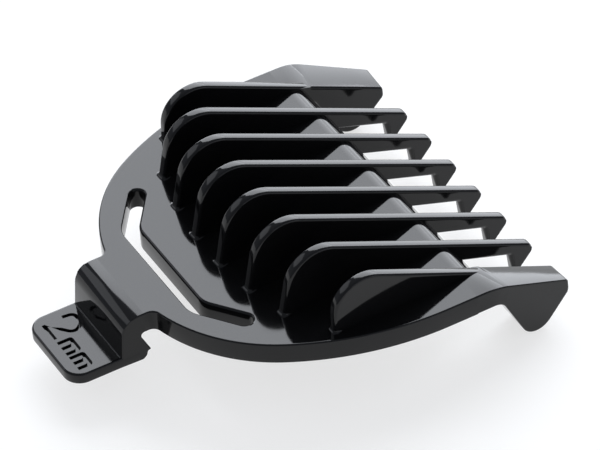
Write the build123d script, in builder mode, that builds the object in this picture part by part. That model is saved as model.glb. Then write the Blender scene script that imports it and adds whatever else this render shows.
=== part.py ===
from build123d import *
import os
from math import cos, radians, sin, tan

# Clip-on guide comb of a hair clipper: a flat plate with eight guide fins, two side rails that end
# in blade hooks, and a springy strap across the front that carries a snap latch with a thumb tab.
# X runs across the comb, +Y points to the fin tips, +Z is up.
# The origin is on the surface that the comb stands on, under the middle of its outline.

# Reference lines: the knee is where the sloping fin tops come down to the plate's top face.
knee_y = 13.9
plate_top = 8.217      # puts the round bottoms of the blade hooks on the ground
plate_thickness = 2.2
plate_bottom = plate_top - plate_thickness
comb_half_width = 19.56

# Plate outline, on the right-hand side and from the knee
flank_start_y = -4.74
shoulder = (15.64, knee_y - 19.76)
cheek = (5.36, knee_y - 27.73)
neck_y = -27.92

# Guide fins
fin_count = 8
fin_pitch = 4.6
fin_thickness = 1.1
fin_edge_radius = 0.3
fin_nose_radius = 3.6
fin_top_slope = 25.2
fin_front_setbacks = [19.7, 19.2, 18.15, 15.35]  # knee to fin front, from the middle pair outwards
fin_front_leans = [11.0, 11.0, 11.0, 1.0]       # degrees off upright, in the same order
inner_fin_face = fin_pitch * (fin_count - 1) / 2 - fin_thickness / 2

# Blade side: the trailing bar stops the blade, the fin undersides lie on it
bar_start = 1.6
bar_radius = 2.2
bar_slope = 55
bar_lip_y = 1.2
bar_lip_height = 0.17
bar_lip_fall = 0.25
blade_drop = 2.05      # plate top to the blade face, at the knee
underside_slope = 21.4
tooth_end = 9.0
tooth_hook_start = 6.55
tooth_hook_drop = 6.9
tooth_hook_width = 0.35
tooth_tip_rise = 0.75
tooth_tip_chamfer = 0.5

# Side rails and blade hooks
rail_length = 9.1
rail_taper_start = 0.6
rail_end_half_width = 18.5
rail_top_tilt = 0.09   # rise of a rail's top towards its outer wall, for each millimetre across
rail_heel_drop = 5.36
hook_front = (1.13, -plate_thickness)
hook_corner = (4.88, -9.58)
hook_bottom_radius = 2.0

# Strap slot and latch
slot_width = 1.6
slot_middle = 24.36      # knee to the slot's centreline
slot_corner_x = 6.42
slot_end_x = 10.42
slot_end = 21.4
latch_half_width = 4.7
bridge_half_width = 6.2
riser_inner = 29.55      # knee to the riser's inner face
riser_outer = 31.6       # knee to the riser's outer face, at its foot
riser_draft = 0.35       # lean of the outer face over the riser's height
riser_radius = 1.65
root_fillet = 0.85
tab_thickness = 1.2
tab_drop = 4.33          # plate top to tab top
tab_length = 5.3
tab_corner = 1.8
tab_edge_radius = 0.3
catch_top = 2.44
catch_reach = 1.07
catch_edge_drop = 4.57
catch_edge_band = 0.13   # height of the blunt edge of the catch
catch_chamfer = 0.35     # height of the slope under that edge

# Engraved size mark
mark_stroke = 0.42
mark_depth = 0.32
mark_middle = -34.9    # middle of the small letters, from the knee
mark_letter_height = 1.5
mark_letter_middles = (0.45, 2.85)
mark_stem_gap = 0.85
mark_foot = mark_middle - mark_letter_height / 2
figure_left = -3.3
figure_middle = -2.3
figure_right = -1.2
figure_bowl = mark_foot + 1.85   # height at which the figure's bowl is widest
figure_top = mark_foot + 2.85

tab_top = plate_top - tab_drop
tab_bottom = tab_top - tab_thickness


def at(y, z):
    """A point of a side profile, given from the knee line and the plate's top face."""
    return (knee_y + y, plate_top + z)


def top_line(y):
    """Height of the sloping top over a place behind or before the knee."""
    return -y * tan(radians(fin_top_slope))


def under_line(y):
    """Height of the sloping blade face under the teeth."""
    return -blade_drop - y * tan(radians(underside_slope))


os.makedirs("parts", exist_ok=True)


def save(name, builder):
    builder.part.label = name
    export_step(builder.part, "parts/" + name + ".step")


# ---- Plate blank: outline of tangent arcs, front strap slot cut through ----
with BuildPart() as plate_blank:
    with BuildSketch(Plane.XY.offset(plate_bottom)):
        with BuildLine() as outline:
            rear = Line((0, knee_y - bar_start), (comb_half_width, knee_y - bar_start))
            side = Line(rear @ 1, (comb_half_width, knee_y + flank_start_y))
            haunch = TangentArc(side @ 1, shoulder, tangent=side % 1)
            corner = TangentArc(haunch @ 1, cheek, tangent=haunch % 1)
            front = Line(corner @ 1, (latch_half_width, knee_y + neck_y))
            neck = Line(front @ 1, (latch_half_width, knee_y - riser_inner))
            Line(neck @ 1, (0, knee_y - riser_inner))
            mirror(about=Plane.YZ)
        make_face()
        necks = vertices().filter_by_position(Axis.Y, knee_y + neck_y - 0.01, knee_y + neck_y + 0.01)
        fillet(necks, root_fillet)
    extrude(amount=plate_thickness)
    with BuildSketch(Plane.XY.offset(plate_bottom)):
        with BuildLine() as slot_line:
            Polyline(
                (-slot_end_x, knee_y - slot_end),
                (-slot_corner_x, knee_y - slot_middle),
                (slot_corner_x, knee_y - slot_middle),
                (slot_end_x, knee_y - slot_end),
            )
            offset(amount=slot_width / 2)
        make_face()
    extrude(amount=plate_thickness, mode=Mode.SUBTRACT)

# ---- Strap: the band outside the slot, from one slot end to the other ----
strap_root = Plane((0, knee_y - slot_end, 0), z_dir=(0, -1, 0))
with BuildPart() as front_half:
    add(plate_blank.part)
    split(bisect_by=strap_root, keep=Keep.TOP)
strap = front_half.part.solids().sort_by(Axis.Y)[0]

with BuildPart() as base_plate:
    add(plate_blank.part)
    add(strap, mode=Mode.SUBTRACT)
save("base_plate", base_plate)

with BuildPart() as latch_bridge:
    add(strap)
    Box(2 * bridge_half_width, 200, 200, mode=Mode.INTERSECT)
save("latch_bridge", latch_bridge)

for arm_name, arm_side in (("strap_arm_left", -1), ("strap_arm_right", 1)):
    with BuildPart() as strap_arm:
        add(strap)
        with Locations((arm_side * (100 + bridge_half_width), 0, 0)):
            Box(200, 200, 200, mode=Mode.INTERSECT)
    save(arm_name, strap_arm)

# ---- Latch: riser, catch and thumb tab ----
with BuildPart() as latch_riser:
    with BuildSketch(Plane.YZ) as riser_profile:
        with BuildLine():
            Polyline(
                at(-riser_inner, 0),
                at(-riser_inner, -tab_drop - tab_thickness),
                at(-riser_outer, -tab_drop - tab_thickness),
                at(-riser_outer, -tab_drop),
                at(-riser_outer + riser_draft, 0),
                close=True,
            )
        make_face()
        top_outer = riser_profile.vertices().group_by(Axis.Y)[-1].sort_by(Axis.X)[0]
        fillet(top_outer, riser_radius)
    extrude(amount=latch_half_width, both=True)
save("latch_riser", latch_riser)

catch_foot = -tab_drop - tab_thickness
with BuildPart() as latch_catch:
    with BuildSketch(Plane.YZ):
        with BuildLine():
            Polyline(
                at(-riser_inner, -catch_top),
                at(-riser_inner + catch_reach, -catch_edge_drop),
                at(-riser_inner + catch_reach, -catch_edge_drop - catch_edge_band),
                at(-riser_inner + catch_reach / 2, catch_foot + catch_chamfer),
                at(-riser_inner + catch_reach / 4, catch_foot),
                at(-riser_inner, catch_foot),
                close=True,
            )
        make_face()
    extrude(amount=latch_half_width, both=True)
save("latch_catch", latch_catch)

with BuildPart() as thumb_tab:
    with BuildSketch(Plane.XY.offset(tab_bottom)):
        with Locations((0, knee_y - riser_outer - tab_length / 2)):
            Rectangle(2 * latch_half_width, tab_length)
        fillet(vertices().group_by(Axis.Y)[0], tab_corner)
    extrude(amount=tab_thickness)
    rim = edges().group_by(Axis.Z)[-1].filter_by(lambda e: e.center().Y < knee_y - riser_outer - 0.1)
    fillet(rim, tab_edge_radius)
    # size mark: a figure two and the unit, one stroke wide
    with BuildSketch(Plane.XY.offset(tab_top)):
        for letter_x in mark_letter_middles:
            for stem in (-1, 0, 1):
                with Locations((letter_x + stem * mark_stem_gap, knee_y + mark_middle)):
                    Rectangle(mark_stroke, mark_letter_height)
            with Locations((letter_x, knee_y + mark_middle + mark_letter_height / 2)):
                Rectangle(2 * mark_stem_gap + mark_stroke, mark_stroke)
    extrude(amount=-mark_depth, mode=Mode.SUBTRACT)
    with BuildSketch(Plane.XY.offset(tab_top)):
        with BuildLine():
            bowl = ThreePointArc(
                (figure_left, knee_y + figure_bowl),
                (figure_middle, knee_y + figure_top),
                (figure_right, knee_y + figure_bowl),
            )
            leg = Line(bowl @ 1, (figure_left, knee_y + mark_foot))
            Line(leg @ 1, (figure_right, knee_y + mark_foot))
            offset(amount=mark_stroke / 2)
        make_face()
    extrude(amount=-mark_depth, mode=Mode.SUBTRACT)
save("thumb_tab", thumb_tab)

# ---- Trailing bar: rounds over from the plate and falls to the lip that stops the blade ----
round_end_y = -bar_start + bar_radius * sin(radians(bar_slope))
round_end_z = -bar_radius + bar_radius * cos(radians(bar_slope))
slide_end_y = bar_lip_y - bar_lip_fall
slide_end_z = round_end_z - (slide_end_y - round_end_y) * tan(radians(bar_slope))
bar_foot_y = (plate_thickness - blade_drop) / tan(radians(underside_slope))
with BuildPart() as blade_stop_bar:
    with BuildSketch(Plane.YZ):
        with BuildLine():
            over = TangentArc(at(-bar_start, 0), at(round_end_y, round_end_z), tangent=(1, 0))
            slide = Line(over @ 1, at(slide_end_y, slide_end_z))
            Polyline(
                slide @ 1,
                at(bar_lip_y, under_line(bar_lip_y) + bar_lip_height),
                at(bar_lip_y, under_line(bar_lip_y)),
                at(bar_foot_y, -plate_thickness),
                at(-bar_start, -plate_thickness),
                at(-bar_start, 0),
            )
        make_face()
    extrude(amount=inner_fin_face, both=True)
save("blade_stop_bar", blade_stop_bar)


# ---- Guide fins ----
def fin_profile(setback, lean, tail):
    """Side of a fin: leaning front edge, round nose, sloping top, then the given tail points."""
    lean_run = tan(radians(lean))
    slope = tan(radians(fin_top_slope))
    corner_y = -setback / (1 + lean_run * slope)
    reach = fin_nose_radius * tan(radians((90 - lean + fin_top_slope) / 2))
    front_end = (corner_y - reach * sin(radians(lean)), -corner_y * slope - reach * cos(radians(lean)))
    top_start_y = corner_y + reach * cos(radians(fin_top_slope))
    rise = Line(at(-setback, 0), at(*front_end))
    nose = TangentArc(rise @ 1, at(top_start_y, top_line(top_start_y)), tangent=rise % 1)
    Polyline(nose @ 1, *[at(y, z) for y, z in tail], rise @ 0)


# tail of an inner fin: tip, hook, blade face, then inside the bar, which is cut out of it
inner_tail = [
    (tooth_end - tooth_tip_chamfer, top_line(tooth_end - tooth_tip_chamfer)),
    (tooth_end, top_line(tooth_end) - tooth_tip_chamfer),
    (tooth_end, top_line(tooth_end) - tooth_tip_rise),
    (tooth_hook_start + 2 * tooth_hook_width, -tooth_hook_drop),
    (tooth_hook_start + tooth_hook_width, -tooth_hook_drop),
    (tooth_hook_start, under_line(tooth_hook_start)),
    (bar_lip_y, under_line(bar_lip_y)),
    (0, -0.8 * plate_thickness),
    (-bar_start, 0),
]
outer_tail = [(0, 0)]

for number in range(1, fin_count + 1):
    fin_x = (number - (fin_count + 1) / 2) * fin_pitch
    rank = int(abs(fin_x) / fin_pitch)
    outermost = number in (1, fin_count)
    with BuildPart() as guide_fin:
        with BuildSketch(Plane.YZ.offset(fin_x)):
            with BuildLine():
                fin_profile(
                    fin_front_setbacks[rank],
                    fin_front_leans[rank],
                    outer_tail if outermost else inner_tail,
                )
            make_face()
        extrude(amount=fin_thickness / 2, both=True)
        if not outermost:
            add(blade_stop_bar.part, mode=Mode.SUBTRACT)
        crown = faces().filter_by(lambda f: f.normal_at().Z > 0.3 and f.center().Z > plate_top - 3)
        long_edges = crown.edges().filter_by(lambda e: abs(e.tangent_at(0.5).X) < 0.01)
        fillet([e for e in long_edges if e.center().Z > plate_top + 0.4], fin_edge_radius)
    save("guide_fin_" + str(number), guide_fin)

# ---- Side rails with blade hooks ----
rail_heel = (rail_length, -rail_heel_drop)
rail_sides = {
    "side_rail": [
        (-bar_start, 0),
        (rail_length, 0),
        rail_heel,
        hook_front,
        (-bar_start, -plate_thickness),
    ],
    "rail_hook": [hook_front, rail_heel, hook_corner],
}
for hand, hand_sign in (("left", -1), ("right", 1)):
    rail_top = Plane(
        origin=(hand_sign * inner_fin_face, knee_y, plate_top),
        z_dir=(-hand_sign * rail_top_tilt, tan(radians(fin_top_slope)), 1),
    )
    for name, side_points in rail_sides.items():
        with BuildPart() as rail_piece:
            with BuildSketch(Plane.YZ.offset(hand_sign * inner_fin_face)) as rail_side:
                with BuildLine():
                    Polyline(*[at(y, z) for y, z in side_points], close=True)
                make_face()
                if name == "rail_hook":
                    fillet(rail_side.vertices().sort_by(Axis.Y)[0], hook_bottom_radius)
            extrude(amount=hand_sign * (comb_half_width - inner_fin_face))
            with BuildSketch(Plane.XY.offset(-1)):
                with BuildLine():
                    Polyline(
                        (hand_sign * inner_fin_face, knee_y - bar_start),
                        (hand_sign * comb_half_width, knee_y - bar_start),
                        (hand_sign * comb_half_width, knee_y + rail_taper_start),
                        (hand_sign * rail_end_half_width, knee_y + rail_length),
                        (hand_sign * inner_fin_face, knee_y + rail_length),
                        close=True,
                    )
                make_face()
            extrude(amount=plate_top + 2, mode=Mode.INTERSECT)
            if name == "side_rail":
                split(bisect_by=rail_top, keep=Keep.BOTTOM)
        save(name + "_" + hand, rail_piece)
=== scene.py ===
# %% [markdown]
# # A clip-on guide comb, modelled around its working CAD frame
# The comb is one injection moulding in black ABS: a flat plate, eight guide fins that stand on it,
# two side rails that end in blade hooks, and a springy strap across the front with a snap latch.
# The CAD frame already holds its sizes and its one moving joint. This lesson makes the surfaces that
# are seen: every edge gets its moulding radius, every fin its nose and its root fillet.
# Units are metres, and the numbers in the text are given in millimetres.

# %% Load the frame
import math
import bmesh
import bpy
import numpy as np
from mathutils import Matrix, Vector
from mathutils.geometry import tessellate_polygon


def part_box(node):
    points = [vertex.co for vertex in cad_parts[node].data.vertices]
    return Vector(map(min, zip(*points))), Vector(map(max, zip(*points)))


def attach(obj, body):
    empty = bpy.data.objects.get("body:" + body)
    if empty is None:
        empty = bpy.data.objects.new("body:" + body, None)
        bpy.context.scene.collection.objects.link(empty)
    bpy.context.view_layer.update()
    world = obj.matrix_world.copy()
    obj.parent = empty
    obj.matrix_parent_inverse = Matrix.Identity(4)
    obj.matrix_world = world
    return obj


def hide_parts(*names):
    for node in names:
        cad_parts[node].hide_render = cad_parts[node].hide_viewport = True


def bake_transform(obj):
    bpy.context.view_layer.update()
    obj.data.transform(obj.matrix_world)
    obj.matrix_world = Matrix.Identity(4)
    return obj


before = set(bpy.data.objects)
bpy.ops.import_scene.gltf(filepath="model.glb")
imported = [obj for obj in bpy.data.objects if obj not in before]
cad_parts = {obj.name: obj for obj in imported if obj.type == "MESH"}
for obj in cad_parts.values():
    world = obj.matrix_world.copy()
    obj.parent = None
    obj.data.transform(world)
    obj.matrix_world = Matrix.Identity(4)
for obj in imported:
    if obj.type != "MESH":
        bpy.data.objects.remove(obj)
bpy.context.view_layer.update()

MM = 0.001

# %% [markdown]
# ## Places, read from the frame
# A mould maker works from datum lines. Two are used here: the plate's top face, and the knee, the
# line across the comb where the sloping fin tops come down to that face. They are read from the
# boxes of the CAD nodes, with the plate's width and thickness, so the surfaces stay on the frame.
# The other sizes are written out as numbers.

# %% Datum lines
plate_low, plate_high = (np.array(c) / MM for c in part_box("base_plate"))
BAR_START = 1.6                      # from the plate's rear edge to the knee
KNEE_Y = plate_high[1] + BAR_START
PLATE_TOP = plate_high[2]
PLATE_THICK = plate_high[2] - plate_low[2]
HALF_WIDTH = plate_high[0]
BLADE_DROP = 2.05                    # from the plate's top face to the blade, at the knee
FIN_PITCH = 4.6
FIN_THICK = 1.1
FIN_SLOPE = math.tan(math.radians(25.2))
BLADE_SLOPE = math.tan(math.radians(21.4))
print("knee", round(KNEE_Y, 2), "plate top", round(PLATE_TOP, 2), "half width", round(HALF_WIDTH, 2))


def top_line(y):
    """Height of the fin tops: a straight fall through the knee."""
    return -FIN_SLOPE * y


def blade_line(y):
    """Height of the fins' undersides: a straight fall from the blade's place at the knee."""
    return -BLADE_DROP - BLADE_SLOPE * y


# %% [markdown]
# ## Drawing outlines
# Every region of the moulding is a flat outline with some thickness. An outline is drawn the way a
# pattern maker draws one: straight sides between a few corners, each corner rounded by an arc that
# touches both sides. Long sweeps are single arcs that leave one point along a given direction and
# end at another.

# %% Arcs and rounded corners
def unit(v):
    """The direction of v, with length one."""
    v = np.asarray(v, float)
    return v / np.linalg.norm(v, axis=-1, keepdims=True)


def tangent_arc(start, heading, end, steps):
    """Arc from start to end that leaves along heading: its centre is level with start, square to
    the heading, at the one distance that also reaches end."""
    start, end, ahead = np.array(start, float), np.array(end, float), unit(heading)
    side = np.array([-ahead[1], ahead[0]])
    chord = end - start
    radius = chord @ chord / (2 * chord @ side)
    centre = start + side * radius
    first = start - centre
    turn = 2 * math.atan2(chord @ side, chord @ ahead)
    angle = np.linspace(0, turn, steps + 1)
    cos, sin = np.cos(angle), np.sin(angle)
    x = first[0] * cos - first[1] * sin
    y = first[0] * sin + first[1] * cos
    return centre + np.stack([x, y], 1)


def rounded(corners, radii, closed=True, steps=8):
    """Straight sides between the corners, each corner replaced by an arc of its radius that touches
    both sides: it starts and ends at radius over the tangent of half the corner's angle."""
    corners = np.array(corners, float)
    count = len(corners)
    pieces = []
    for i, radius in enumerate(radii):
        here = corners[i]
        if radius == 0 or (not closed and i in (0, count - 1)):
            pieces.append(here[None])
            continue
        back = unit(corners[i - 1] - here)
        on = unit(corners[(i + 1) % count] - here)
        half = math.acos(np.clip(back @ on, -1, 1)) / 2
        pieces.append(tangent_arc(here + back * radius / math.tan(half), -back,
                                  here + on * radius / math.tan(half), steps))
    return np.concatenate(pieces)


print("test arc", tangent_arc((0, 0), (1, 0), (1, 1), 2).round(3).tolist())

# %% [markdown]
# ## Edges that catch the light
# No moulded edge is sharp, and on gloss black plastic the thin line along each edge is most of what
# the eye sees. So each region is a slab made by carrying an edge profile round its outline: a
# quarter round, the wall, and a quarter round. Where two regions of the moulding meet, the outline
# is cut instead, and the profile ends in the cut face, so the two faces lie on each other unseen.

# %% Edge profile carried round an outline
EDGE_STEPS = 5
BAND = 0.06                          # width of the strip that keeps each large face truly flat


def inset_directions(chain, slides):
    """How a point moves when the outline goes in by one: square to its sides, and longer at a
    corner. The end of a cut outline slides along its cut. Outlines run anticlockwise."""
    ahead = unit(np.diff(chain, axis=0)) if slides else unit(np.roll(chain, -1, axis=0) - chain)
    inward = np.stack([-ahead[:, 1], ahead[:, 0]], 1)
    if slides:
        before, after = np.vstack([inward[:1], inward]), np.vstack([inward, inward[-1:]])
    else:
        before, after = np.roll(inward, 1, axis=0), inward
    move = (before + after) / (1 + (before * after).sum(1, keepdims=True))
    if slides:
        for end, slide in zip((0, -1), np.array(slides, float)):
            move[end] = slide / (slide @ inward[end])
    return move


def strip(chain, low, high, round_low, round_high, place, slides=None):
    """Grid of edge lines by outline points. On the quarter rounds, the way in is the radius times
    one less the cosine, and the height is the radius times one less the sine. A radius may be one
    number or one for each point."""
    turn = np.linspace(0, np.pi / 2, EDGE_STEPS + 1)[:, None]
    ones = np.ones(len(chain))
    r0, r1 = round_low * ones, round_high * ones
    inset = np.vstack([r0 + BAND, r0 * (1 - np.sin(turn)), r1 * (1 - np.cos(turn)), r1 + BAND])
    height = np.vstack([low * ones, low + r0 * (1 - np.cos(turn)),
                        high - r1 * (1 - np.sin(turn)), high * ones])
    move = inset_directions(chain, slides)
    flat = chain[None] + inset[..., None] * move[None]
    return place(flat, height)


def lying(flat, height):
    """Puts an outline drawn in plan into space: its height is up."""
    return np.stack([flat[..., 0], flat[..., 1], height], -1)


def standing(flat, height):
    """Puts an outline drawn from the side into space: its height is across the comb."""
    return np.stack([height, flat[..., 0], flat[..., 1]], -1)


def slab(strips, cut, holes=()):
    """Grids and flat caps of a slab, from the strips round its outline. A cut slab has a flat face
    from the end of each strip to the start of the next. Holes lie in its high face."""
    low = np.concatenate([s[0] for s in strips])
    high = np.concatenate([s[-1] for s in strips])
    caps = [[low], [high, *holes]]
    if not cut:
        return [np.concatenate([s, s[:, :1]], 1) for s in strips], caps
    for i, here in enumerate(strips):
        after = strips[(i + 1) % len(strips)]
        caps.append([np.concatenate([here[:, -1], after[::-1, 0]])])
    return list(strips), caps


# %% [markdown]
# ## From grids to a mesh
# Grids become four-sided faces, flat caps are cut into triangles, and points that lie on each other
# are merged, so that a piece is one closed skin with its faces outwards. Pieces are drawn in
# millimetres from the knee and the plate's top face, and go to their place in metres here.

# %% Mesh maker
def grid_faces(rows, cols, first):
    """Point numbers of the four corners of each cell of a grid."""
    i, j = np.meshgrid(np.arange(rows - 1), np.arange(cols - 1), indexing="ij")
    a = first + i * cols + j
    return np.stack([a, a + 1, a + cols + 1, a + cols], -1).reshape(-1, 4)


def make_piece(name, grids, caps, cuts_y=(), shape=None):
    """Joins grids and caps to one closed skin. cuts_y are places along the comb where flat faces
    need points because the piece bends there, and shape then moves all the points at once."""
    points, faces, first = [], [], 0
    for grid in grids:
        points.append(grid.reshape(-1, 3))
        faces += grid_faces(*grid.shape[:2], first).tolist()
        first += grid.shape[0] * grid.shape[1]
    for loops in caps:
        triangles = tessellate_polygon([[Vector(p) for p in loop] for loop in loops])
        faces += [[first + k for k in t] for t in triangles]
        points.append(np.concatenate(loops))
        first += len(points[-1])
    mesh = bpy.data.meshes.new(name)
    mesh.from_pydata(np.concatenate(points).tolist(), [], faces)
    work = bmesh.new()
    work.from_mesh(mesh)
    bmesh.ops.remove_doubles(work, verts=work.verts, dist=2e-4)
    bmesh.ops.dissolve_degenerate(work, edges=work.edges, dist=1e-4)
    for y in cuts_y:
        everything = work.verts[:] + work.edges[:] + work.faces[:]
        bmesh.ops.bisect_plane(work, geom=everything, dist=1e-4, plane_co=(0, y, 0), plane_no=(0, 1, 0))
    bmesh.ops.recalc_face_normals(work, faces=work.faces)
    open_edges = sum(not e.is_manifold for e in work.edges)
    work.to_mesh(mesh)
    work.free()
    at = np.zeros(len(mesh.vertices) * 3)
    mesh.vertices.foreach_get("co", at)
    at = at.reshape(-1, 3)
    at = at if shape is None else shape(at)
    mesh.vertices.foreach_set("co", ((at + (0, KNEE_Y, PLATE_TOP)) * MM).ravel())
    mesh.polygons.foreach_set("use_smooth", np.ones(len(mesh.polygons), bool))
    mesh.set_sharp_from_angle(angle=math.radians(32))
    mesh.update()
    piece = bpy.data.objects.new(name, mesh)
    bpy.context.scene.collection.objects.link(piece)
    print(name, "faces", len(mesh.polygons), "open edges", open_edges)
    return piece


# %% [markdown]
# ## Black ABS, moulded
# Guide combs are moulded in ABS filled with carbon black. The base is close to black, so nearly all
# that shows is the clear reflection of the room in the polished skin. A tool's polish is never even:
# the gloss drifts over a few millimetres, the skin waves faintly where the melt shrank, and handling
# leaves fine scuffs. The patterns read Object coordinates, so the finish runs on without a break
# from one region of the moulding to the next. Real ABS has an IOR of about 1.54. It is set lower here,
# with brighter panels to make up for it, because the steep walls mirror a pale floor and should stay
# dark. Put it back when the material is used in another light. The scuffs are drawn at a third of a
# millimetre, coarser than real ones, so that they show.

# %% Material helpers
def linear(hex_colour):
    """sRGB hex colour as the linear values that shaders work in."""
    code = hex_colour.lstrip("#")
    s = np.array([int(code[i:i + 2], 16) for i in (0, 2, 4)]) / 255
    return (*np.where(s <= 0.04045, s / 12.92, ((s + 0.055) / 1.055) ** 2.4), 1.0)


def add_node(tree, kind, settings=None, links=None):
    """Adds a node, sets its properties and inputs, and links its inputs from other outputs."""
    node = tree.nodes.new(kind)
    for key, value in (settings or {}).items():
        if isinstance(key, int) or key in node.inputs:
            node.inputs[key].default_value = value
        else:
            setattr(node, key, value)
    for key, output in (links or {}).items():
        tree.links.new(output, node.inputs[key])
    return node


def per_mm(size):
    """Noise scale for features of that size in millimetres, on coordinates in metres."""
    return 1 / (size * MM)


# %% Gloss black ABS
DRIFT_SIZE, SCUFF_SIZE, WAVE_SIZE = 7, 0.35, 2.5     # millimetres
WAVE_DEPTH = 0.02
SCUFF_SHARE = 0.35
ABS_IOR = 1.36


def moulded_abs(name, colour, gloss_low, gloss_high):
    """ABS whose roughness drifts between two values, with a faint waviness in its skin."""
    material = bpy.data.materials.new(name)
    material.use_nodes = True
    tree = material.node_tree
    shader = tree.nodes["Principled BSDF"]
    shader.inputs["Base Color"].default_value = linear(colour)
    shader.inputs["IOR"].default_value = ABS_IOR
    where = add_node(tree, "ShaderNodeTexCoord").outputs["Object"]
    drift = add_node(tree, "ShaderNodeTexNoise", {"Scale": per_mm(DRIFT_SIZE), "Detail": 3.0},
                     {"Vector": where})
    scuffs = add_node(tree, "ShaderNodeTexNoise", {"Scale": per_mm(SCUFF_SIZE), "Detail": 2.0},
                      {"Vector": where})
    both = add_node(tree, "ShaderNodeMath", {"operation": "MULTIPLY_ADD", 1: SCUFF_SHARE},
                    {0: scuffs.outputs["Fac"], 2: drift.outputs["Fac"]})
    gloss = add_node(tree, "ShaderNodeMapRange",
                     {"From Min": 0.45, "From Max": 0.95, "To Min": gloss_low, "To Max": gloss_high},
                     {"Value": both.outputs[0]})
    tree.links.new(gloss.outputs["Result"], shader.inputs["Roughness"])
    waves = add_node(tree, "ShaderNodeTexNoise", {"Scale": per_mm(WAVE_SIZE), "Detail": 1.0},
                     {"Vector": where})
    skin = add_node(tree, "ShaderNodeBump", {"Strength": 0.2, "Distance": WAVE_DEPTH * MM},
                    {"Height": waves.outputs["Fac"]})
    tree.links.new(skin.outputs["Normal"], shader.inputs["Normal"])
    return material


BLACK_ABS = moulded_abs("gloss_black_abs", "#0f0f10", 0.05, 0.11)
print("material", BLACK_ABS.name)


def finish_piece(piece, nodes=(), body="comb"):
    """Gives a piece its plastic, its body and the CAD nodes that it stands for."""
    piece.data.materials.append(BLACK_ABS)
    if body:
        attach(piece, body)
    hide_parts(*nodes)


# %% [markdown]
# ## The plate
# The plate is a horseshoe with three arcs on each side: a long gentle one along the flank, a tighter
# one round the shoulder, and a flat one over the front. A slot with round ends frees the strap from
# it. Plate and strap are two pieces that meet at the slot's ends, because the strap bends when the
# latch is lifted, and the plate doesn't.

# %% Plate outline
ROOT_Y = -21.4                       # across the centres of the slot's round ends
SLOT_END = np.array([10.42, ROOT_Y])
SLOT_CORNER = np.array([6.42, -24.36])
SLOT_HALF = 0.8                      # half of the slot's width
FLANK_END = (HALF_WIDTH, -4.74)
SHOULDER = (15.64, -19.76)
CHEEK = (5.36, -27.73)
PLATE_EDGE = 0.16                    # edge radii: outer top, underside, and top along the slot
UNDER_EDGE = 0.05
ISLAND_EDGE = 0.25
ISLAND_ROUND = 2.4                   # at the slot's bends, on the plate's side
STRAP_ROUND = 2.8                    # the same, on the strap's side

flank = tangent_arc(FLANK_END, (0, -1), SHOULDER, 30)
front_arc = tangent_arc(SHOULDER, flank[-1] - flank[-2], CHEEK, 44)
root = np.argmax(front_arc[:, 1] < ROOT_Y)
share = (ROOT_Y - front_arc[root - 1, 1]) / (front_arc[root, 1] - front_arc[root - 1, 1])
root_point = front_arc[root - 1] + share * (front_arc[root] - front_arc[root - 1])
print("strap root from x", SLOT_END[0] + SLOT_HALF, "to", round(root_point[0], 2))


def mirrored(chain):
    """The same line on the other side of the comb, run the other way."""
    return chain[::-1] * (-1, 1)


def round_end(start, end, steps):
    """Part of the slot's round end between two angles in degrees."""
    angle = np.radians(np.linspace(start, end, steps))
    return SLOT_END + SLOT_HALF * np.stack([np.cos(angle), np.sin(angle)], 1)


leg = unit(SLOT_CORNER - SLOT_END)
leg_side = np.array([-leg[1], leg[0]])
leg_angle = math.degrees(math.atan2(leg_side[1], leg_side[0]))


def slot_bend(side):
    """Where the slot's leg meets its straight middle, on the plate side (-1) or strap side (+1)."""
    from_end = SLOT_END + side * leg_side * SLOT_HALF
    level = SLOT_CORNER[1] - side * SLOT_HALF
    return from_end + leg * (level - from_end[1]) / leg[1]


# %% Plate
right_flank = np.vstack([root_point, front_arc[:root][::-1], flank[::-1][1:], (HALF_WIDTH, -BAR_START)])
slot_end_arc = round_end(leg_angle + 180, 0, 14)
slot_bend_arc = rounded([slot_bend(-1) * (-1, 1), slot_bend(-1), slot_end_arc[0]], [0, ISLAND_ROUND, 0],
                        closed=False, steps=6)[1:-1]
slot_inner = np.vstack([slot_bend_arc, slot_end_arc])
slot_inner = np.vstack([mirrored(slot_inner), slot_inner])
plate_strips = [
    strip(right_flank, -PLATE_THICK, 0, UNDER_EDGE, PLATE_EDGE, lying, [(-1, 0), (-1, 0)]),
    strip(mirrored(right_flank), -PLATE_THICK, 0, UNDER_EDGE, PLATE_EDGE, lying, [(1, 0), (1, 0)]),
    strip(slot_inner, -PLATE_THICK, 0, UNDER_EDGE, ISLAND_EDGE, lying, [(-1, 0), (1, 0)])]
plate = make_piece("plate", *slab(plate_strips, cut=True))
finish_piece(plate, ["base_plate"])
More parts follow.
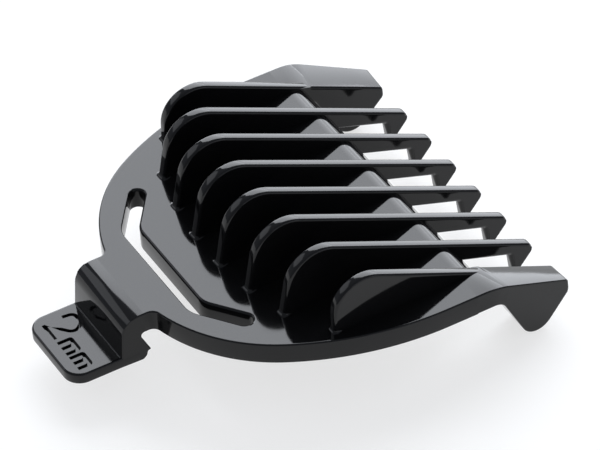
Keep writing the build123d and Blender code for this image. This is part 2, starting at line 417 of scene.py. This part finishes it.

# %% [markdown]
# ## The strap
# The strap is the spring of the latch: a band of the plate's own thickness that runs outside the
# slot. It bends between its two roots and the bridge in its middle, so its flat faces get lines
# across them where they bend.

# %% Strap
LATCH_HALF = 4.7
NECK_Y = -27.92
NECK_ROUND = 0.85
LATCH_CUT = -28.9                    # where strap and riser meet
neck = rounded([CHEEK, (LATCH_HALF, NECK_Y), (LATCH_HALF, LATCH_CUT)], [0, NECK_ROUND, 0],
               closed=False, steps=12)
right_edge = np.vstack([root_point, front_arc[root:-1], neck])[::-1]
slot_outer = np.vstack([round_end(0, leg_angle, 10), slot_bend(1)])
slot_outer = np.vstack([slot_outer, mirrored(slot_outer)])
slot_radii = [0] * 10 + [STRAP_ROUND, STRAP_ROUND] + [0] * 10
slot_outer = rounded(slot_outer, slot_radii, closed=False, steps=6)
strap_strips = [
    strip(mirrored(right_edge), -PLATE_THICK, 0, UNDER_EDGE, PLATE_EDGE, lying, [(1, 0), (1, 0)]),
    strip(right_edge, -PLATE_THICK, 0, UNDER_EDGE, PLATE_EDGE, lying, [(-1, 0), (-1, 0)]),
    strip(slot_outer, -PLATE_THICK, 0, UNDER_EDGE, PLATE_EDGE, lying, [(1, 0), (-1, 0)])]
BEND_END_Y = -25.1
BEND_STEP = 0.3
bend_lines = np.arange(ROOT_Y - BEND_STEP, BEND_END_Y - 0.5, -BEND_STEP)
strap = make_piece("strap", *slab(strap_strips, cut=True), cuts_y=bend_lines)
finish_piece(strap, ["strap_arm_left", "strap_arm_right", "latch_bridge"], body=None)
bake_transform(strap)

# %% [markdown]
# ## Riser and catch
# At the front the strap turns down into a riser, which carries the catch on its inner face: a wedge
# that rides over the clipper head's edge and snaps under it. Its side view is one outline, and the
# same edge radius as the strap's makes the two run into each other.

# %% Riser and catch
TAB_TOP = -4.33
TAB_BOTTOM = -5.53
RISER_OUTER = -31.6
RISER_INNER = -29.6
RISER_LEAN = 0.35                    # how far the outer face leans in over its height
RISER_FOOT = TAB_BOTTOM + 0.01       # a hair above the tab's underside, so that they don't share a plane
CATCH_TIP = (-28.48, -4.57)
catch_below = [(-29.3, RISER_FOOT), (-28.95, -5.2), (-28.8, -4.7)]     # from the foot up to the tip
riser_corners = [(LATCH_CUT, 0), (RISER_OUTER + RISER_LEAN, 0), (RISER_OUTER, TAB_TOP),
                 (RISER_OUTER, RISER_FOOT), *catch_below, CATCH_TIP,
                 (RISER_INNER, -PLATE_THICK), (LATCH_CUT, -PLATE_THICK)]
riser_rounds = [0, 1.9, 0, 0.2, 0.3, 0.3, 0.05, 0.04, 0.4, 0]
riser_side = rounded(riser_corners, riser_rounds, closed=False, steps=10)
on_inside = (riser_side[:, 0] > -31) & (riser_side[:, 1] < -0.1)
riser_edge = np.where(on_inside, UNDER_EDGE, PLATE_EDGE)
riser_strip = strip(riser_side, -LATCH_HALF, LATCH_HALF, riser_edge, riser_edge, standing,
                    [(0, -1), (0, 1)])
riser = make_piece("riser_and_catch", *slab([riser_strip], cut=True))
finish_piece(riser, ["latch_riser", "latch_catch"], body="latch")

# %% [markdown]
# ## Thumb tab and size mark
# The tab is a small tongue with round corners. It carries the comb's size, cut a third of a
# millimetre deep: a figure 2 and the sign for millimetres. A mark like this is milled into the
# mould as strokes of even width, so each sign is one line with its width laid off on both sides.

# %% Size mark
STROKE = 0.42
MARK_DEPTH = 0.32


def stroke_outline(path):
    """A line given its width: the path moved half the width to each side, and joined."""
    ahead = unit(np.gradient(path, axis=0))
    side = np.stack([-ahead[:, 1], ahead[:, 0]], 1) * STROKE / 2
    return np.concatenate([path - side, (path + side)[::-1]])


def letter_m(left, bottom, top, gap):
    """Outline of an m: three stems, joined by a bar along the top with round outer corners."""
    h = STROKE / 2
    stems = left + gap * np.arange(3)
    corners = [(stems[0] - h, bottom), (stems[0] + h, bottom), (stems[0] + h, top - STROKE),
               (stems[1] - h, top - STROKE), (stems[1] - h, bottom), (stems[1] + h, bottom),
               (stems[1] + h, top - STROKE), (stems[2] - h, top - STROKE), (stems[2] - h, bottom),
               (stems[2] + h, bottom), (stems[2] + h, top), (stems[0] - h, top)]
    radii = [0, 0, 0.08, 0.25, 0, 0, 0.08, 0.25, 0, 0, 0.45, 0.35]
    return rounded(corners, radii, steps=5)


two_path = rounded([(-3.45, -33.6), (-3.3, -32.45), (-1.9, -32.3), (-0.85, -33.5), (-2.0, -34.45),
                    (-3.15, -35.6)], [0, 0.55, 0.75, 0.75, 1.2, 0], closed=False, steps=6)
TWO_BASE = -35.4                     # top of the figure's base stroke
two_sides = stroke_outline(two_path)
two_foot = [(-2.98, TWO_BASE), (-1.05, TWO_BASE), (-1.05, TWO_BASE - STROKE),
            (-3.4, TWO_BASE - STROKE), (-3.42, TWO_BASE - 0.1)]
two_outline = np.concatenate([two_sides[:len(two_path) - 1], two_foot, two_sides[len(two_path) + 1:]])
LETTER_LOW, LETTER_HIGH = -35.7, -34.1
mark_outlines = [two_outline, letter_m(-0.4, LETTER_LOW, LETTER_HIGH, 0.87),
                 letter_m(2.0, LETTER_LOW, LETTER_HIGH, 0.83)]

# %% Thumb tab
TAB_FRONT = -36.9
TAB_BACK = RISER_INNER - 0.1         # hidden inside the riser
TAB_CORNER = 1.8
TAB_HALF = LATCH_HALF + 0.004        # a hair proud of the riser, so that they don't share a plane
tab_plan = rounded([(-TAB_HALF, TAB_FRONT), (TAB_HALF, TAB_FRONT), (TAB_HALF, TAB_BACK),
                    (-TAB_HALF, TAB_BACK)], [TAB_CORNER, TAB_CORNER, 0, 0], steps=14)
tab_strip = strip(tab_plan, TAB_BOTTOM, TAB_TOP, 0.2, 0.22, lying)
mark_walls, mark_floors, mark_rims = [], [], []
for outline in mark_outlines:
    floor_line = lying(outline, np.full(len(outline), TAB_TOP - MARK_DEPTH))
    rim = lying(outline, np.full(len(outline), TAB_TOP))
    wall = np.stack([rim, floor_line])
    mark_walls.append(np.concatenate([wall, wall[:, :1]], 1))
    mark_floors.append([floor_line])
    mark_rims.append(rim)
tab_grids, tab_caps = slab([tab_strip], cut=False, holes=mark_rims)
tab = make_piece("thumb_tab_skin", tab_grids + mark_walls, tab_caps + mark_floors)
finish_piece(tab, ["thumb_tab"], body="latch")

# %% [markdown]
# ## The corner between tab and riser
# The tab meets the riser in an inside corner, which shows as one thin light line. It is a hollow
# quarter round: out and up are each the radius less an arc of it. The rest of it is buried.

# %% Corner between tab and riser
CORNER = 0.13
BURIED = 0.2
turn = np.linspace(0, np.pi / 2, 6)
corner_out = RISER_OUTER - CORNER * (1 - np.sin(turn))
corner_up = TAB_TOP + CORNER * (1 - np.cos(turn))
corner_start = [(RISER_OUTER + BURIED, TAB_TOP - BURIED), (RISER_OUTER - CORNER, TAB_TOP - 0.05)]
corner_side = np.vstack([corner_start, np.stack([corner_out, corner_up], 1),
                         [(RISER_OUTER + 0.05, TAB_TOP + CORNER)]])
corner_ends = np.array([[-LATCH_HALF + BURIED], [LATCH_HALF - BURIED]]) * np.ones(len(corner_side))
corner_strip = standing(np.stack([corner_side, corner_side]), corner_ends)
corner_bead = make_piece("tab_corner", *slab([corner_strip], cut=True))
finish_piece(corner_bead, body="latch")

# %% [markdown]
# ## The stop bar
# Between the fins the plate rounds over and falls to a small lip that stops the cutting blade. Its
# side view is the same all the way across, so it is one outline carried straight from rail to rail.

# %% Stop bar
INNER_WALL = FIN_PITCH * 3.5 - FIN_THICK / 2      # the rails' inner faces
LIP_Y = 1.2                          # the lip's rear face
LIP_TOP = -2.35
BAR_CORNER_Y = -0.45                 # where the plate's top face and the slope would meet
BAR_ROUND = 2.2
BAR_END = INNER_WALL + 0.1           # a little inside the rails
bar_foot = (PLATE_THICK - BLADE_DROP) / BLADE_SLOPE
bar_corners = [(-BAR_START, -PLATE_THICK), (bar_foot, -PLATE_THICK), (LIP_Y, blade_line(LIP_Y)),
               (LIP_Y, LIP_TOP), (BAR_CORNER_Y, 0), (-BAR_START - 0.001, 0)]
bar_side = rounded(bar_corners, [0, 0, 0.05, 0.15, BAR_ROUND, 0], closed=False, steps=12)
bar_strip = standing(np.stack([bar_side, bar_side]),
                     np.array([[-BAR_END], [BAR_END]]) * np.ones(len(bar_side)))
bar = make_piece("stop_bar", *slab([bar_strip], cut=True))
finish_piece(bar, ["blade_stop_bar"])

# %% [markdown]
# ## Rails and blade hooks
# Each rail runs on from the plate's flank, bends down at the knee with the fins and ends in a round
# hook that holds the rear corner of the clipper's head. The outer wall leans in behind the knee, so
# the comb is narrower at its tips. The wall is drawn straight first and then moved in with the
# distance from the knee; the soft bend is half of the distance plus the root of its square and a
# small one.

# %% Rails and hooks
RAIL_TAPER = 0.127                   # how much the wall leans in for each millimetre behind the knee
TAPER_START = 0.6
TAPER_SOFT = 0.5
CREASE_SKEW = 0.19
SKEW_DEPTH = 1.2                     # how far under the top face the skew has died away
HOOK_FRONT = (1.13, -PLATE_THICK)
HOOK_LOW = (4.88, -9.58)
HEEL = (9.09, -5.31)
RAIL_END = (9.0, top_line(9.0))
rail_corners = [(-BAR_START, -PLATE_THICK), HOOK_FRONT, HOOK_LOW, HEEL, RAIL_END, (0, 0), (-BAR_START, 0)]
rail_side = rounded(rail_corners, [0, 1.5, 2.0, 0.7, 0.5, 6.0, 0], closed=False, steps=12)


def lean_in(points):
    """Moves the outer wall in behind the knee, and the points between the walls by their share. The
    top face is skewed first: its crease at the knee goes back by the skew times the distance from
    the inner wall, and its far end goes up by as much as that shift would lift the slope."""
    x, y, z = points.T
    across = np.abs(x) - INNER_WALL
    near_top = np.clip(z - np.minimum(0, top_line(y)) + SKEW_DEPTH, 0, 1)
    at_crease = np.interp(y, [-BAR_START, -1.0, 1.5, 6.0], [0, 1, 1, 0])
    shift = CREASE_SKEW * across * near_top
    z = z + FIN_SLOPE * shift * (1 - at_crease) * (y > 0)
    y = y + shift * at_crease
    run = y - TAPER_START
    run = np.where(y < -1.5, 0, (run + np.sqrt(run ** 2 + TAPER_SOFT ** 2)) / 2)
    x = x - np.sign(x) * across / (HALF_WIDTH - INNER_WALL) * RAIL_TAPER * run
    return np.stack([x, y, z], 1)


RAIL_EDGE = 0.28                     # edge radius along the rails' inner faces
beside_bar = (rail_side[:, 1] < LIP_Y) & (rail_side[:, 0] < 1.0)
edge_inner = np.where(beside_bar, 0.02, RAIL_EDGE)
for hand, side in (("left", -1), ("right", 1)):
    rail_strip = strip(rail_side, INNER_WALL, HALF_WIDTH, edge_inner, PLATE_EDGE,
                       lambda flat, height: standing(flat, height * side), [(0, 1), (0, -1)])
    rail = make_piece(f"rail_and_hook_{hand}", *slab([rail_strip], cut=True),
                      cuts_y=np.arange(-1.5, 6.3, 0.25), shape=lean_in)
    finish_piece(rail, [f"side_rail_{hand}", f"rail_hook_{hand}"])

# %% [markdown]
# ## Guide fins
# The fins lift the hair to an even length. Each one is a thin plate on edge with a leaning front, a
# large round nose and a straight top. Eight cores of the same shape would leave the outer fins over
# the plate's edge, so each pair stands further back. The inner six run past the bar and end in a
# small claw, and the outer two run out into the rails.

# %% Fins
SETBACKS = [19.7, 19.2, 18.15, 15.35]   # knee to fin front, from the middle pair outwards
LEANS = [11, 11, 11, 1.5]            # degrees off upright, in the same order
NOSES = [3.65, 3.65, 3.65, 3.45]     # radius of the round nose
FIN_EDGE = 0.28
UNDER_FIN_EDGE = 0.1
CLAW_ROUND = 0.35                    # what the claw's inner edges have on top of that
SUNK = 0.3                           # how far a fin's foot goes into the plate
SKIN_GAP = 0.006                     # a hair thinner, so that fins and rails don't share a plane
CLAW = (6.52, blade_line(6.52))      # where the underside turns down into the claw
CLAW_LOW = -6.95
CLAW_START, CLAW_END = 6.4, 7.05     # along the comb, the part of it that is rounded more
UNDER_TOP = 0.4                      # behind the knee, edges further than this below the tops are thin
TIP_Y = 9.51                         # where the fin's top and its end would meet
# from inside the bar along the underside, down the claw and up to the tip
tip = [(0, -1.85), (1.1, blade_line(1.1)), CLAW, (6.95, CLAW_LOW), (7.35, -7.0),
       (TIP_Y, top_line(TIP_Y))]
tip_rounds = [0, 0, 0.12, 0.12, 0.15, 0.75]
run_out = [(2.6, -1.7), (0.9, top_line(0.9) - 0.01)]    # inside the rail


def fin_outline(setback, lean, nose, outermost):
    """Side of a fin, anticlockwise from its foot: straight sides, with the nose's large round."""
    run = math.tan(math.radians(lean))
    corner_y = -setback / (1 + run * FIN_SLOPE)
    foot = [(-setback - SUNK * run, -SUNK), (-BAR_START, -0.6)]
    tail, rounds = (run_out, [0, 0]) if outermost else (tip, tip_rounds)
    return rounded(foot + tail + [(corner_y, top_line(corner_y))], [0, 0, *rounds, nose], steps=14)


for number in range(1, 9):
    x = (number - 4.5) * FIN_PITCH
    rank = int(abs(x) / FIN_PITCH)
    outline = fin_outline(SETBACKS[rank], LEANS[rank], NOSES[rank], rank == 3)
    below = (outline[:, 1] < top_line(outline[:, 0]) - UNDER_TOP) & (outline[:, 0] > 0)
    edge = np.where(below, UNDER_FIN_EDGE, FIN_EDGE)
    on_claw = below & (outline[:, 0] > CLAW_START) & (outline[:, 0] < CLAW_END)
    edge += np.where(on_claw, CLAW_ROUND * np.clip((outline[:, 1] - CLAW_LOW) / 2, 0, 1), 0)
    half = FIN_THICK / 2
    fin_strip = strip(outline, x - half + SKIN_GAP, x + half - SKIN_GAP, edge, edge, standing)
    fin = make_piece(f"fin_{number}", *slab([fin_strip], cut=False))
    finish_piece(fin, [f"guide_fin_{number}"])

# %% [markdown]
# ## Root fillets
# Where a fin stands on the plate the mould has a small radius, so that the melt can fill the fin and
# the corner doesn't crack. It shows as a bright bead at the front of each fin's foot, and fades along
# the sides, where no bead can be made out. It is a hollow quarter round carried round the foot: out
# and up are each the radius less an arc of it.

# %% Root fillets
FILLET = 0.26
FADE = 0.8                           # from the fin's front to where the fillet has gone
END_FILLET = 0.03                    # what is left of it there
RUN_ON = 0.03                        # both ends of the arc run on this far, into plate and fin
TUBE_BACK, TUBE_LOW = -0.15, -0.1    # its last corner, hidden inside the fin's foot


def root_fillet(x, setback, lean):
    """Tube round the front of a fin's foot, which fades along both sides of the fin."""
    half = FIN_THICK / 2
    tail = -setback + FADE
    path = rounded([(half, tail), (half, -setback), (-half, -setback), (-half, tail)],
                   [0, FIN_EDGE, FIN_EDGE, 0], closed=False, steps=8)
    ahead = unit(np.gradient(path, axis=0))
    out = np.stack([-ahead[:, 1], ahead[:, 0]], 1)
    turn = np.linspace(0, np.pi / 2, 6)[:, None]
    radius = np.interp(path[:, 1], [-setback + FIN_EDGE, tail], [FILLET, END_FILLET])
    ones = np.ones(len(path))
    outwards = np.vstack([radius + RUN_ON, radius * (1 - np.sin(turn)), -RUN_ON * ones,
                          TUBE_BACK * ones])
    up = np.vstack([-0.01 * ones, radius * (1 - np.cos(turn)), radius + RUN_ON, TUBE_LOW * ones])
    facing = np.clip(-out[:, 1], 0, 1) * math.tan(math.radians(lean))
    reach = outwards - up * facing
    flat = path[None] + reach[..., None] * out[None] + (x, 0)
    tube = lying(flat, up)
    closed = np.concatenate([tube, tube[:1]])
    return closed, [[tube[:, 0]], [tube[:, -1]]]


for number in range(1, 9):
    x = (number - 4.5) * FIN_PITCH
    rank = int(abs(x) / FIN_PITCH)
    tube, ends = root_fillet(x, SETBACKS[rank], LEANS[rank])
    bead = make_piece(f"root_fillet_{number}", [tube], ends)
    finish_piece(bead)

# %% [markdown]
# ## Floor, light and camera
# Black gloss is lit by what it mirrors. Two soft panels behind the comb, one above the other, give the
# plate and the fin tops their even grey, and the darker room above and in front leaves the walls
# between the fins black. Two weak panels light the other sides. The floor is plain matt paper, and a
# long lens half a metre away shows the fins nearly parallel.

# %% Floor
def paper(name, colour, glow):
    """Matt seamless paper, lit evenly from behind so that shadows on it stay weak."""
    material = bpy.data.materials.new(name)
    material.use_nodes = True
    shader = material.node_tree.nodes["Principled BSDF"]
    shader.inputs["Base Color"].default_value = linear(colour)
    shader.inputs["Roughness"].default_value = 0.9
    shader.inputs["Emission Color"].default_value = (1.0, 1.0, 1.0, 1.0)
    shader.inputs["Emission Strength"].default_value = glow
    return material


reach = 6.0                          # half of the floor's side, in metres
floor_mesh = bpy.data.meshes.new("floor")
floor_mesh.from_pydata([(-reach, -reach, 0), (reach, -reach, 0), (reach, reach, 0), (-reach, reach, 0)],
                       [], [(0, 1, 2, 3)])
floor = bpy.data.objects.new("floor", floor_mesh)
floor.data.materials.append(paper("seamless_paper", "#959595", 0.7))
bpy.context.scene.collection.objects.link(floor)


# %% Lights
PANEL_COLOUR = (0.95, 0.98, 1.03)    # slightly cool daylight


def soft_panel(name, place, aim, width, height, brightness):
    """A flat soft light. Its power is brightness times pi times its area, so that the brightness is
    what a mirror would show of it."""
    light = bpy.data.lights.new(name, "AREA")
    light.shape = "RECTANGLE"
    light.size, light.size_y = width, height
    light.energy = brightness * math.pi * width * height
    light.color = PANEL_COLOUR
    panel = bpy.data.objects.new(name, light)
    panel.location = place
    panel.rotation_euler = (Vector(aim) - Vector(place)).to_track_quat("-Z", "Y").to_euler()
    bpy.context.scene.collection.objects.link(panel)


soft_panel("back_panel_high", (-1.15, 0.95, 1.275), (0, 0, 1.175), 2.2, 1.45, 6.1)
soft_panel("back_panel_low", (-1.15, 0.95, 0.275), (0, 0, 0.2), 2.2, 0.55, 4.4)
soft_panel("right_panel", (1.39, 0.59, 0.48), (0, 0, 0), 1.6, 0.35, 1.2)
soft_panel("front_panel", (-1.2, -0.8, 1.0), (0, 0, 0), 1.0, 0.8, 1.2)
world = bpy.data.worlds.new("room")
world.use_nodes = True
world.node_tree.nodes["Background"].inputs["Color"].default_value = (0.31, 0.33, 0.37, 1)
bpy.context.scene.world = world
bpy.context.scene.view_settings.view_transform = "Standard"

# %% Camera
camera = bpy.data.objects.new("camera", bpy.data.cameras.new("camera"))
bpy.context.scene.collection.objects.link(camera)
bpy.context.scene.camera = camera
camera.data.lens = 295.1
camera.data.clip_start, camera.data.clip_end = 0.01, 20
HEADING, DOWNWARD, ROLL = 62.008, 41.580, -3.360     # degrees
turn = (Matrix.Rotation(math.radians(HEADING), 4, "Z")
        @ Matrix.Rotation(math.radians(90 - DOWNWARD), 4, "X")
        @ Matrix.Rotation(math.radians(ROLL), 4, "Z"))
camera.matrix_world = Matrix.Translation((0.30957, -0.16011, 0.317427)) @ turn
